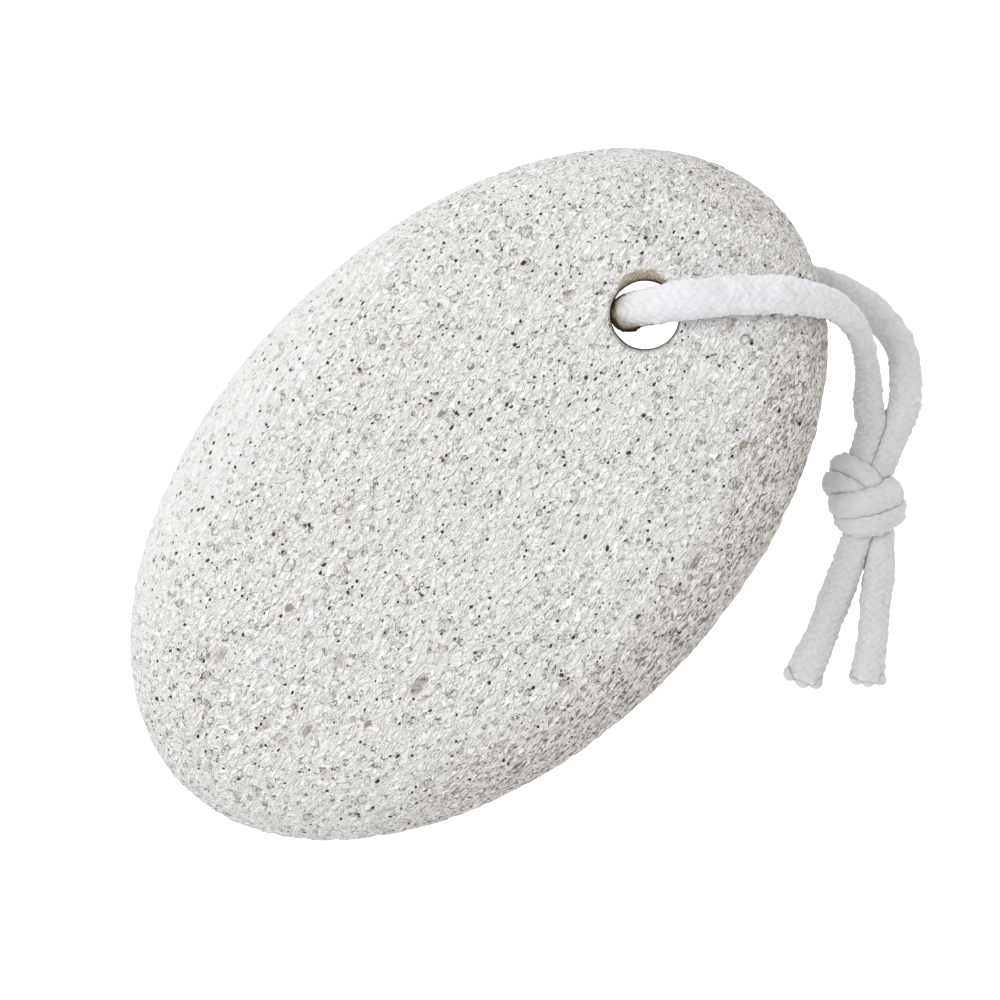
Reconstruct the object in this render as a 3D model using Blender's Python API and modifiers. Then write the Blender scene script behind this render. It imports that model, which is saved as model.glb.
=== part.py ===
"""A hand pumice stone on a looped cord.

The stone is one oval piece of pale volcanic foam, ground flat on top and domed underneath, with a
hole drilled through near one end. A soft braided cord goes down through the hole, and its two
strands are tied together in one overhand knot beside the stone, with two short tails.

Metres, +Z up. The stone lies on its underside with its long axis along X, the hole towards +X. The
origin is on the surface it lies on, under the middle of the stone.
"""

import math
import random

import bmesh
import bpy
from mathutils import Matrix, Vector, noise

MM = 0.001

# The stone. Seen from above it is an ellipse. Its section is a superellipse, flat above and round
# below: share ** FLATNESS + (height / rise) ** FULLNESS = 1, where share is 1 at the outline.
STONE_LENGTH = 95 * MM
STONE_WIDTH = 60 * MM
WIDEST_Z = 14.4 * MM  # height of the outline's widest level
TOP_RISE = 12.6 * MM  # from there up to the middle of the face
TOP_FLATNESS, TOP_FULLNESS = 5, 2.2
UNDER_DROP = 15.0 * MM  # from there down to the dome's lowest point, before the flat is ground
UNDER_FLATNESS, UNDER_FULLNESS = 2, 1.9
LUMP_HEIGHT = 0.35 * MM
LUMP_SIZE = 9 * MM
BALL_SUBDIVISIONS = 5
MESH_SHARE = 0.72  # of the ball's triangles that the stone keeps

# The drilled hole, which runs a little off square.
HOLE_RADIUS = 4.3 * MM
HOLE_TOP = Vector((27.4, 1.7, 26.0)) * MM
HOLE_FOOT = Vector((28.5, 1.2, 2.8)) * MM
HOLE_CHAMFER = 0.7 * MM
HOLE_SIDES = 28

# The open pores, which are cut at corners of the stone's own triangles.
PORE_RADII = (0.55 * MM, 0.75 * MM, 0.95 * MM, 1.2 * MM)
PORE_SEED = 7
PORE_SHARE = 0.17  # of the corners
PORE_DEPTH = 0.9  # of its radius
PORE_ROOM = 0.45  # a pore's most radius, of the shortest edge at its corner
PORE_FREE_Z = 1.0 * MM  # no pore below this, so that the flat stays whole
PORE_FREE_HOLE = 2.6 * MM  # nor this near the hole

# The cord. A braided cord flattens where it is drawn over the stone or squeezed under it, so each
# point of the route gives the place of the centreline and the cord's radius there, in millimetres.
CORD_RADIUS = 1.9 * MM
LOOP_ROUTE = (
    (35.4, -28.4, 3.9, 1.15),
    (37.1, -26.7, 4.0, 1.6),
    (39.4, -24.5, 4.3, 1.8),
    (42.4, -20.9, 6.9, 1.9),
    (44.1, -17.0, 13.4, 1.9),
    (43.5, -13.0, 20.9, 1.8),
    (40.6, -8.8, 25.5, 1.7),
    (36.6, -4.8, 26.9, 1.7),
    (33.0, -1.9, 28.1, 1.7),
    (29.6, 0.7, 27.9, 1.7),
    (27.0, 2.5, 25.2, 1.9),
    (26.4, 2.9, 21.0, 1.9),
    (26.5, 2.8, 14.5, 1.9),
    (26.9, 2.6, 8.5, 1.9),
    (27.7, 2.0, 4.4, 1.7),
    (29.6, 0.3, 2.0, 1.6),
    (33.0, -1.6, 1.65, 1.6),
    (38.4, -3.9, 1.7, 1.7),
    (43.4, -7.2, 1.85, 1.8),
    (46.6, -12.2, 1.95, 1.9),
    (47.6, -17.2, 1.95, 1.9),
    (46.6, -22.3, 2.0, 1.9),
    (43.2, -26.4, 2.6, 1.8),
    (39.9, -29.0, 3.5, 1.5),
    (37.1, -30.1, 3.8, 1.15),
)
LEFT_TAIL_ROUTE = (
    (27.4, -34.4, 3.6, 1.1),
    (26.0, -35.4, 3.0, 1.35),
    (24.0, -36.5, 2.5, 1.6),
    (21.5, -37.6, 2.0, 1.8),
    (17.0, -39.6, 1.95, 1.9),
    (11.9, -41.7, 1.95, 1.9),
)
RIGHT_TAIL_ROUTE = (
    (29.2, -36.2, 3.6, 1.1),
    (28.2, -37.7, 3.0, 1.35),
    (26.7, -39.2, 2.5, 1.6),
    (24.6, -41.0, 2.0, 1.8),
    (21.0, -44.1, 1.95, 1.9),
    (17.2, -47.0, 1.95, 1.9),
)
ROUTE_STEPS = 2  # tube points for each point of a route
TUBE_RESOLUTION = 2  # eight sides

# The overhand knot, drawn tight. Its own axes are X across it, Y up along the cord that runs in, Z up.
KNOT_MIDDLE = Vector((31.8, -31.8, 4.0)) * MM
KNOT_TURN = math.radians(-44.5)  # from the object's axes to the knot's
KNOT_LENGTH = 8.6 * MM
KNOT_WIDTH = 8.4 * MM
KNOT_DEPTH = 7.6 * MM
KNOT_CORE = 0.84  # of the knot's width and depth
KNOT_CORE_OFFSET = Vector((0.4, 0, 0)) * MM
WRAP_RADIUS = 1.7 * MM  # of each of the two turns round the knot
WRAP_HEIGHTS = (1.35 * MM, -2.0 * MM)
WRAP_TILT = math.radians(-11)
WRAP_FLATTENING = 1.1  # a pressed strand is this much broader than it is deep
EARS = (  # where the wrapped strands turn in: place and radius in the knot's axes
    (Vector((-3.1, 2.6, 0.2)) * MM, 1.9 * MM),
    (Vector((3.0, 2.2, -0.3)) * MM, 1.6 * MM),
)
NECKS = (  # the flat pair of strands above and below: place and half sizes
    (Vector((1.3, 3.5, 0.0)) * MM, Vector((2.4, 1.1, 1.4)) * MM),
    (Vector((0.0, -3.5, -0.2)) * MM, Vector((2.4, 1.1, 1.4)) * MM),
)


def material(name, colour, roughness):
    """A Principled material of one colour, matt and not metallic."""
    made = bpy.data.materials.new(name)
    made.use_nodes = True
    shader = made.node_tree.nodes["Principled BSDF"]
    shader.inputs["Base Color"].default_value = (*colour, 1)
    shader.inputs["Roughness"].default_value = roughness
    shader.inputs["Metallic"].default_value = 0
    made.diffuse_color = (*colour, 1)
    return made


def clear_scene():
    for thing in list(bpy.data.objects):
        bpy.data.objects.remove(thing, do_unlink=True)


def collection(name, shown=True):
    made = bpy.data.collections.new(name)
    made.hide_render = not shown
    bpy.context.scene.collection.children.link(made)
    return made


def object_from(mesh_maker, name, owner):
    """An object in the owner collection whose mesh is what the bmesh holds."""
    mesh = bpy.data.meshes.new(name)
    mesh_maker.to_mesh(mesh)
    mesh_maker.free()
    made = bpy.data.objects.new(name, mesh)
    owner.objects.link(made)
    return made


def shade_round(mesh):
    """Smooth shading, but for edges sharper than half a right angle."""
    mesh.shade_smooth()
    mesh.set_sharp_from_angle(angle=math.radians(45))


def as_cutter(thing):
    thing.hide_render = True
    thing.display_type = "WIRE"
    return thing


def boolean(thing, other, operation):
    step = thing.modifiers.new(f"{operation} {other.name}", "BOOLEAN")
    step.operation = operation
    step.object = other
    step.solver = "EXACT"


# The stone


def top_height(share):
    """Height above the widest level, where share is 0 at the middle and 1 at the outline."""
    return TOP_RISE * (1 - share**TOP_FLATNESS) ** (1 / TOP_FULLNESS)


def under_depth(share):
    """Depth below the widest level of the domed underside."""
    return UNDER_DROP * (1 - share**UNDER_FLATNESS) ** (1 / UNDER_FULLNESS)


def stone_point(direction):
    """The point of the smooth stone for a direction on the unit sphere."""
    share = min(1.0, math.hypot(direction.x, direction.y))
    rise = top_height(share) if direction.z > 0 else -under_depth(share)
    return Vector(
        (direction.x * STONE_LENGTH / 2, direction.y * STONE_WIDTH / 2, WIDEST_Z + rise)
    )


def stone_body(owner):
    """The oval with low lumps, before the flat is ground on its underside."""
    shape = bmesh.new()
    bmesh.ops.create_icosphere(shape, subdivisions=BALL_SUBDIVISIONS, radius=1)
    for vertex in shape.verts:
        vertex.co = stone_point(vertex.co)
    shape.normal_update()
    roughness, finer_by, layers = 0.9, 2.1, 3
    for vertex in shape.verts:
        lump = noise.fractal(vertex.co / LUMP_SIZE, roughness, finer_by, layers)
        vertex.co += vertex.normal * lump * LUMP_HEIGHT
    stone = object_from(shape, "stone", owner)
    thin_out = stone.modifiers.new("thin out the even stretches", "DECIMATE")
    thin_out.ratio = MESH_SHARE
    return stone


def apply_modifiers(thing):
    graph = bpy.context.evaluated_depsgraph_get()
    plain = bpy.data.meshes.new_from_object(thing.evaluated_get(graph))
    thing.modifiers.clear()
    thing.data = plain


def grind_flat(stone):
    """Takes the dome off at the surface that the stone lies on."""
    shape = bmesh.new()
    shape.from_mesh(stone.data)
    everything = shape.verts[:] + shape.edges[:] + shape.faces[:]
    bmesh.ops.bisect_plane(
        shape, geom=everything, plane_co=(0, 0, 0), plane_no=(0, 0, 1), clear_inner=True
    )
    rim = [edge for edge in shape.edges if edge.is_boundary]
    bmesh.ops.holes_fill(shape, edges=rim)
    bmesh.ops.recalc_face_normals(shape, faces=shape.faces[:])
    shape.to_mesh(stone.data)
    shape.free()


def off_the_hole(place):
    """Distance of a place from the hole's wall, measured square to the hole."""
    axis = (HOLE_TOP - HOLE_FOOT).normalized()
    along = (place - HOLE_FOOT).dot(axis)
    return (place - HOLE_FOOT - axis * along).length - HOLE_RADIUS


def pore_corners(shape):
    """Corners of the mesh that become pores, no two side by side, by the pores' radius."""
    chosen = {radius: [] for radius in PORE_RADII}
    taken = set()
    pick = random.Random(PORE_SEED)
    for corner in pick.sample(shape.verts[:], len(shape.verts)):
        if len(taken) > PORE_SHARE * len(shape.verts):
            break
        beside = {edge.other_vert(corner) for edge in corner.link_edges}
        low = min(other.co.z for other in beside) < PORE_FREE_Z
        if low or off_the_hole(corner.co) < PORE_FREE_HOLE or taken & beside:
            continue
        taken.add(corner)
        shortest = min(edge.calc_length() for edge in corner.link_edges)
        fitting = [radius for radius in PORE_RADII if radius < PORE_ROOM * shortest]
        if fitting:
            chosen[pick.choice(fitting)].append(corner)
    return chosen


def open_pores(stone):
    """Cuts off each chosen corner and pushes the middle of the cut in, as a small open pit."""
    shape = bmesh.new()
    shape.from_mesh(stone.data)
    chosen = pore_corners(shape)
    for radius, corners in chosen.items():
        cut = bmesh.ops.bevel(
            shape, geom=corners, offset=radius, offset_type="OFFSET", segments=1,
            affect="VERTICES",
        )
        bmesh.ops.poke(shape, faces=cut["faces"], offset=-radius * PORE_DEPTH)
    shape.to_mesh(stone.data)
    shape.free()


def hole_cutter(owner):
    """A turned cutter for the drilled hole, with a chamfer at each mouth."""
    axis = HOLE_TOP - HOLE_FOOT
    half = axis.length / 2
    reach = half + HOLE_RADIUS
    profile = (
        (0, reach),
        (HOLE_RADIUS + HOLE_CHAMFER, reach),
        (HOLE_RADIUS + HOLE_CHAMFER, half + HOLE_CHAMFER / 2),
        (HOLE_RADIUS, half - HOLE_CHAMFER),
        (HOLE_RADIUS, HOLE_CHAMFER - half),
        (HOLE_RADIUS + HOLE_CHAMFER, -half - HOLE_CHAMFER / 2),
        (HOLE_RADIUS + HOLE_CHAMFER, -reach),
        (0, -reach),
    )
    line = bmesh.new()
    points = [line.verts.new((radius, 0, height)) for radius, height in profile]
    for first, second in zip(points, points[1:]):
        line.edges.new((first, second))
    cutter = as_cutter(object_from(line, "hole_cutter", owner))
    turn = cutter.modifiers.new("turn", "SCREW")
    turn.steps = HOLE_SIDES
    turn.render_steps = HOLE_SIDES
    turn.use_merge_vertices = True
    turn.merge_threshold = 0.00001
    tilt = Vector((0, 0, 1)).rotation_difference(axis)
    middle = (HOLE_TOP + HOLE_FOOT) / 2
    cutter.matrix_world = Matrix.Translation(middle) @ tilt.to_matrix().to_4x4()
    return cutter


def make_stone(parts, cutters):
    stone = stone_body(parts)
    apply_modifiers(stone)
    grind_flat(stone)
    open_pores(stone)
    shade_round(stone.data)
    boolean(stone, hole_cutter(cutters), "DIFFERENCE")
    stone.data.materials.append(material("pumice", (0.70, 0.69, 0.66), 0.95))
    return stone


# The cord


def smooth_route(points):
    """The route's places and radii on one smooth curve through its points (Catmull-Rom)."""
    rows = [Vector((*point[:3], point[3])) * MM for point in points]
    rows = [2 * rows[0] - rows[1], *rows, 2 * rows[-1] - rows[-2]]
    smooth = []
    for before, start, end, after in zip(rows, rows[1:], rows[2:], rows[3:]):
        for step in range(ROUTE_STEPS):
            t = step / ROUTE_STEPS
            smooth.append(
                0.5
                * (
                    2 * start
                    + (end - before) * t
                    + (2 * before - 5 * start + 4 * end - after) * t * t
                    + (3 * start - before - 3 * end + after) * t**3
                )
            )
    smooth.append(rows[-2])
    return smooth


def make_tube(name, points, owner, cord_material):
    """A length of the cord as a plain round tube with closed ends."""
    line = bpy.data.curves.new(name, "CURVE")
    line.dimensions = "3D"
    line.bevel_depth = CORD_RADIUS
    line.bevel_resolution = TUBE_RESOLUTION
    line.use_fill_caps = True
    route = smooth_route(points)
    spline = line.splines.new("POLY")
    spline.points.add(len(route) - 1)
    for place, row in zip(spline.points, route):
        place.co = (row.x, row.y, row.z, 1)
        place.radius = row.w / CORD_RADIUS
    tube = bpy.data.objects.new(name, line)
    tube.data.materials.append(cord_material)
    owner.objects.link(tube)
    return tube


def knot_frame():
    """The matrix that takes the knot's own axes to the object's."""
    return Matrix.Translation(KNOT_MIDDLE) @ Matrix.Rotation(KNOT_TURN, 4, "Z")


def knot_ball(name, place, size, owner):
    """A ball of the given half sizes, in the knot's axes."""
    ball = bmesh.new()
    shape = knot_frame() @ Matrix.Translation(place) @ Matrix.Diagonal((*size, 1))
    bmesh.ops.create_uvsphere(ball, u_segments=12, v_segments=7, radius=1, matrix=shape)
    made = object_from(ball, name, owner)
    shade_round(made.data)
    return made


def knot_wrap(name, height, owner):
    """One turn of a strand round the knot: a tilted ring, flatter in depth than across."""
    bpy.ops.mesh.primitive_torus_add(
        major_segments=16,
        minor_segments=8,
        major_radius=KNOT_WIDTH / 2 - WRAP_RADIUS,
        minor_radius=WRAP_RADIUS,
    )
    ring = bpy.context.object
    ring.name = name
    for old_owner in list(ring.users_collection):
        old_owner.objects.unlink(ring)
    owner.objects.link(ring)
    upright = Matrix.Rotation(math.pi / 2, 4, "X")
    flatten = Matrix.Diagonal((1, WRAP_FLATTENING, KNOT_DEPTH / KNOT_WIDTH, 1))
    tilt = Matrix.Rotation(WRAP_TILT, 4, "Z")
    place = Matrix.Translation((0, height, 0))
    ring.data.transform(knot_frame() @ place @ tilt @ flatten @ upright)
    shade_round(ring.data)
    return ring


def make_knot(parts, cutters, cord_material):
    core = Vector((KNOT_WIDTH * KNOT_CORE, KNOT_LENGTH, KNOT_DEPTH * KNOT_CORE)) / 2
    knot = knot_ball("cord_knot", KNOT_CORE_OFFSET, core, parts)
    for number, height in enumerate(WRAP_HEIGHTS):
        wrap = as_cutter(knot_wrap(f"knot_wrap_{number}", height, cutters))
        boolean(knot, wrap, "UNION")
    lumps = [(place, Vector((radius, radius, radius))) for place, radius in EARS]
    for number, (place, size) in enumerate(lumps + list(NECKS)):
        lump = as_cutter(knot_ball(f"knot_lump_{number}", place, size, cutters))
        boolean(knot, lump, "UNION")
    knot.data.materials.append(cord_material)
    return knot


def main():
    clear_scene()
    parts = collection("pumice_stone")
    cutters = collection("cutters", shown=False)
    make_stone(parts, cutters)
    cord_material = material("white cord", (0.80, 0.80, 0.79), 0.85)
    make_tube("cord_loop", LOOP_ROUTE, parts, cord_material)
    make_tube("cord_tail_left", LEFT_TAIL_ROUTE, parts, cord_material)
    make_tube("cord_tail_right", RIGHT_TAIL_ROUTE, parts, cord_material)
    make_knot(parts, cutters, cord_material)


main()
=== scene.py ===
import math

import bpy
import numpy as np
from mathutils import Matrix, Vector


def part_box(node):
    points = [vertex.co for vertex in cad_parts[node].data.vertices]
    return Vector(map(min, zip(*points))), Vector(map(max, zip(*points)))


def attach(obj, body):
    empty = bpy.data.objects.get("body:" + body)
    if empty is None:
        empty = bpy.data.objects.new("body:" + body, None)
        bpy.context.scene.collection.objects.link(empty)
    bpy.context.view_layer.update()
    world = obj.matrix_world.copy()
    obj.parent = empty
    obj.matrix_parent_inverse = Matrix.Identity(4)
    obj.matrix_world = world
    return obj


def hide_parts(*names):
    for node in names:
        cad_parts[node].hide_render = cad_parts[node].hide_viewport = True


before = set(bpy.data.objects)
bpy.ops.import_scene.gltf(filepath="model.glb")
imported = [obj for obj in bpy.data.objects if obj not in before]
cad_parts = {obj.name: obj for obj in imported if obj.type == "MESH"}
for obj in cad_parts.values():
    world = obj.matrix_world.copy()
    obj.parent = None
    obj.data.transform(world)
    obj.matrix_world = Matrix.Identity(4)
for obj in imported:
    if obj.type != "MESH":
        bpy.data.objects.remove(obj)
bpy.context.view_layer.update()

# ---- The stone -------------------------------------------------------------------------------
# A hand pumice: pale volcanic foam, ground to a long oval with a flat face, rounded shoulders and
# a domed underside that stands on a small flat. Its gas bubbles were drawn out along it while it
# was lava, and the grinding opens them. One hole is drilled through it near the end.

MM = 0.001

low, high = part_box("stone")
HALF_LENGTH = (high.x - low.x) / 2 / MM
HALF_WIDTH = (high.y - low.y) / 2 / MM
WIDEST_Z = 14.4
TOP_RISE, TOP_FLATNESS, TOP_FULLNESS = 12.6, 5, 2.2
UNDER_DROP, UNDER_FLATNESS, UNDER_FULLNESS = 15.0, 2, 1.9
STONE_CELLS = 208

HOLE_TOP, HOLE_FOOT = np.array([27.4, 1.2, 26.0]), np.array([28.4, 1.3, 2.8])
HOLE_RADIUS = 4.0
# the rod that cuts the hole: where it starts and ends, and its circles and their points
ROD_TOP, ROD_FOOT = 31, -2
ROD_RINGS, ROD_AROUND = 120, 100
# the chipped part of the mouth: middle and half width round the hole, depth and starting level
CHIP_TURN, CHIP_SPREAD = math.radians(47), math.radians(37)
CHIP_DEPTH, CHIP_LEVEL = 1.5, 25.0
SPALL_TURN, SPALL_SPREAD = math.radians(-12), math.radians(10)

# the bubbles were drawn out this much, this far round from the stone's long axis
FLOW_TURN = math.radians(8)
FLOW_STRETCH = 2.0

# relief in millimetres: size and height of each layer of waves
LUMPS, SWELLS, RIPPLES, GRIT = (13, 0.16), (3.4, 0.10), (1.3, 0.09), (0.75, 0.07)
# spacing, smallest and largest radius of the open bubbles, and the share of their depth that is cut
LARGE_PITS, LARGE_DEPTH = (2.3, 0.15, 1.05), 0.38
SMALL_PITS, SMALL_DEPTH = (1.15, 0.1, 0.62), 0.42


def top_height(share):
    """Height of the face above the widest level: the rise times the root of one minus the share of
    the half width to the power of the flatness."""
    return TOP_RISE * np.maximum(0, 1 - share**TOP_FLATNESS) ** (1 / TOP_FULLNESS)


def under_height(share):
    """The same curve for the underside, downwards and rounder."""
    return -UNDER_DROP * np.maximum(0, 1 - share**UNDER_FLATNESS) ** (1 / UNDER_FULLNESS)


def even_share(share, height):
    """Share of the half width at which a share of the section's length is reached, so that rings
    of points keep their distance down the steep side."""
    fine = np.sin(np.linspace(0, np.pi / 2, 4000))
    across = math.sqrt(HALF_LENGTH * HALF_WIDTH) * fine
    run = np.r_[0, np.cumsum(np.hypot(np.diff(across), np.diff(height(fine))))]
    return np.interp(share, run / run[-1], fine)


def half_stone(height):
    """A square grid pressed into an oval and raised: each square ring becomes an ellipse of that
    ring's share of the width, its points are spread by equal angles, and the height follows."""
    a, b = np.meshgrid(*[np.linspace(-1, 1, STONE_CELLS + 1)] * 2, indexing="ij")
    wide = np.abs(a) > np.abs(b)
    ring, side = np.where(wide, a, b), np.where(wide, b, a)
    angle = np.pi / 4 * side / np.where(ring == 0, 1, ring)
    angle = np.where(wide, angle, np.pi / 2 - angle)
    share = even_share(np.abs(ring), height)
    x = HALF_LENGTH * np.sign(ring) * share * np.cos(angle)
    y = HALF_WIDTH * np.sign(ring) * share * np.sin(angle)
    return np.stack([x, y, WIDEST_Z + height(share)], axis=-1)


def outward(points, rise, flatness, fullness):
    """Direction square to the stone's surface: the slope of share**flatness + level**fullness."""
    x, y, z = points.T
    share = np.hypot(x / HALF_LENGTH, y / HALF_WIDTH)
    level = np.abs(z - WIDEST_Z) / rise
    pull = flatness * share ** (flatness - 2)
    slope = fullness * level ** (fullness - 1) / rise * np.sign(z - WIDEST_Z)
    normal = np.stack([pull * x / HALF_LENGTH**2, pull * y / HALF_WIDTH**2, slope], axis=-1)
    return normal / np.linalg.norm(normal, axis=-1, keepdims=True)


def chance(cell, seed):
    """A repeatable number from 0 to 1 for each whole-numbered box: its three numbers are mixed
    by large primes and the low bits kept."""
    mixed = cell[..., 0] * 73856093 ^ cell[..., 1] * 19349663 ^ cell[..., 2] * 83492791
    mixed = (mixed ^ seed * 2654435761) & 0xFFFFFFFF
    mixed = ((mixed ^ (mixed >> 15)) * 1274126177) & 0xFFFFFFFF
    mixed = ((mixed ^ (mixed >> 13)) * 1103515245) & 0xFFFFFFFF
    return (mixed >> 8) / float(1 << 24)


def drift(points, size, seed):
    """Smooth noise from -1 to 1: chance numbers at the corners of boxes of that size, blended
    between the corners by a smooth step."""
    place = points / size
    base = np.floor(place).astype(np.int64)
    blend = place - base
    blend = blend * blend * (3 - 2 * blend)
    total = 0
    for corner in np.ndindex(2, 2, 2):
        weight = np.prod(np.where(corner, blend, 1 - blend), axis=-1)
        total = total + weight * chance(base + np.array(corner), seed)
    return 2 * total - 1


def waves(points, size, height, seed):
    """Smooth noise of that size, from the height down to the same depth."""
    return height * drift(points, size, seed)


def bubbles(points, spacing, smallest, largest, seed):
    """Depth of the bubble that is open under each point: each box of the spacing holds one ball
    at a chance place and of a chance radius, and its depth is a parabola over that radius."""
    place = points / spacing
    base = np.floor(place).astype(np.int64)
    depth = np.zeros(len(points))
    for step in np.ndindex(3, 3, 3):
        cell = base + np.array(step) - 1
        middle = cell + np.stack([chance(cell, seed + k) for k in range(3)], axis=-1)
        radius = smallest + (largest - smallest) * chance(cell, seed + 3) ** 2
        gap = np.linalg.norm(place - middle, axis=-1) / (radius / spacing)
        depth = np.maximum(depth, radius * np.maximum(0, 1 - gap**2))
    return depth


def along_flow(points):
    """Places turned to the direction in which the bubbles were drawn out, and pressed together
    along it, so that what is round in them is long on the stone."""
    c, s = math.cos(FLOW_TURN), math.sin(FLOW_TURN)
    x, y, z = points.T
    return np.stack([(x * c + y * s) / FLOW_STRETCH, y * c - x * s, z], axis=-1)


def stone_surface():
    """Both halves of the stone with the relief of its ground foam moved along the surface's own
    direction; they share the points of the widest ring."""
    top, under = half_stone(top_height), half_stone(under_height)
    shape = top.shape[:2]
    count = shape[0] * shape[1]
    inside = np.zeros(shape, bool)
    inside[1:-1, 1:-1] = True
    top_index = np.arange(count).reshape(shape)
    under_index = top_index.copy()
    under_index[inside] = count + np.arange(inside.sum())
    smooth = np.vstack([top.reshape(-1, 3), under[inside]])
    normal = np.vstack([
        outward(top.reshape(-1, 3), TOP_RISE, TOP_FLATNESS, TOP_FULLNESS),
        outward(under[inside], UNDER_DROP, UNDER_FLATNESS, UNDER_FULLNESS),
    ])

    share = np.hypot(smooth[:, 0] / HALF_LENGTH, smooth[:, 1] / HALF_WIDTH)
    shoulder = np.clip((share - 0.62) / 0.3, 0, 1)
    flow = along_flow(smooth)
    large_pits = bubbles(flow, *LARGE_PITS, 11)
    small_pits = bubbles(flow, *SMALL_PITS, 23)
    rough = shoulder * np.clip(0.4 - smooth[:, 1] / HALF_WIDTH, 0, 1)
    inner = 1 - 0.7 * np.clip((share - 0.85) / 0.1, 0, 1)
    relief = (waves(smooth, *LUMPS, 1) + waves(flow, *SWELLS, 2) - LARGE_DEPTH * large_pits) * inner
    relief += waves(flow, *RIPPLES, 3) * inner + waves(flow, *GRIT, 4) * (1 + 1.6 * rough)
    relief -= SMALL_DEPTH * small_pits * (0.8 + 0.6 * rough)
    points = smooth + normal * relief[:, None]
    points[:, 2] = np.maximum(points[:, 2], 0)

    def faces(index, turned):
        """The grid's faces, four points each, turned over where they look down."""
        corners = [index[:-1, :-1], index[1:, :-1], index[1:, 1:], index[:-1, 1:]]
        return np.stack(corners[::-1] if turned else corners, axis=-1).reshape(-1, 4)

    # depth of the open bubbles under each point, which the material paints as shade in the hollows
    pits = np.clip(0.9 * large_pits + 1.2 * small_pits, 0, 1)
    return points, np.vstack([faces(top_index, False), faces(under_index, True)]), pits


def hole_axis(level):
    """Middle of the hole at a height: a straight line from its top to its foot."""
    share = (level - HOLE_TOP[2]) / (HOLE_FOOT[2] - HOLE_TOP[2])
    return HOLE_TOP + (HOLE_FOOT - HOLE_TOP) * share[..., None]


def hole_radius(level, turn):
    """Radius of the hole at a height and a turn round it, roughened by smooth noise. Its edge is
    rounded off by a square of the height, and opens by a bevel on the side where the mouth has
    chipped, most at one narrow spall."""
    rim = np.stack([np.cos(turn), np.sin(turn), 0 * turn], axis=-1)
    places = (hole_axis(level) + rim * HOLE_RADIUS).reshape(-1, 3)
    wear = waves(places, 1.6, 0.05, 31) + waves(places, 0.7, 0.04, 32)
    aside = (turn.ravel() - CHIP_TURN + np.pi) % (2 * np.pi) - np.pi
    chipped = np.exp(-((aside / CHIP_SPREAD) ** 4))
    chipped = chipped * (0.75 + waves(places, 1.7, 0.3, 33) + waves(places, 0.7, 0.4, 35))
    chipped = chipped + 0.6 * np.exp(-(((aside - SPALL_TURN) / SPALL_SPREAD) ** 2))
    level = level.ravel()
    rounded = 0.16 * np.clip((level - HOLE_TOP[2]) / 0.6, 0, 1.5) ** 2
    bevel = CHIP_DEPTH * chipped * np.clip((level - CHIP_LEVEL) / 1.6, 0, 1.3) ** 1.2
    return (HOLE_RADIUS + wear + rounded + bevel).reshape(turn.shape)


def drill():
    """The drilled hole as a closed rod: circles of the hole's radius carried down its axis."""
    levels = np.linspace(ROD_TOP, ROD_FOOT, ROD_RINGS)
    turns = np.arange(ROD_AROUND) / ROD_AROUND * 2 * np.pi
    level, turn = np.meshgrid(levels, turns, indexing="ij")
    rim = np.stack([np.cos(turn), np.sin(turn), 0 * turn], axis=-1)
    points = hole_axis(level) + rim * hole_radius(level, turn)[..., None]
    index = np.arange(level.size).reshape(level.shape)
    across = np.roll(index, -1, axis=1)
    sides = np.stack([index[:-1], index[1:], across[1:], across[:-1]], axis=-1).reshape(-1, 4)
    return points.reshape(-1, 3), sides, [list(index[0]), list(index[-1][::-1])]


def in_hole(points):
    """1 for the points that lie on the hole's wall and 0 for the rest."""
    offset = points - hole_axis(points[:, 2])
    turn = np.arctan2(offset[:, 1], offset[:, 0]) % (2 * np.pi)
    from_axis = np.hypot(offset[:, 0], offset[:, 1])
    return (from_axis < hole_radius(points[:, 2], turn) + 0.06).astype(float)


def mesh_object(name, points, faces, extra_faces=()):
    """A mesh object at the origin from points in millimetres."""
    mesh = bpy.data.meshes.new(name)
    more = [list(map(int, face)) for face in extra_faces]
    mesh.from_pydata((points * MM).tolist(), [], faces.tolist() + more)
    mesh.shade_smooth()
    made = bpy.data.objects.new(name, mesh)
    bpy.context.scene.collection.objects.link(made)
    return made


def set_values(mesh, name, values):
    """One number for each point of the mesh, kept under a name that a material can read."""
    mesh.attributes.new(name, "FLOAT", "POINT").data.foreach_set("value", values.astype(np.float32))


points, faces, pits = stone_surface()
stone = mesh_object("pumice_stone", points, faces)
set_values(stone.data, "pits", pits)
rod = mesh_object("drill", *drill())
cut = stone.modifiers.new("drilled", "BOOLEAN")
cut.operation, cut.solver, cut.object = "DIFFERENCE", "EXACT", rod
drilled = bpy.data.meshes.new_from_object(stone.evaluated_get(bpy.context.evaluated_depsgraph_get()))
stone.modifiers.clear()
stone.data = drilled
drilled.set_sharp_from_angle(angle=math.radians(60))
cut_points = np.zeros(3 * len(drilled.vertices))
drilled.vertices.foreach_get("co", cut_points)
set_values(drilled, "bore", in_hole(cut_points.reshape(-1, 3) / MM))
bpy.data.objects.remove(rod)


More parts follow.
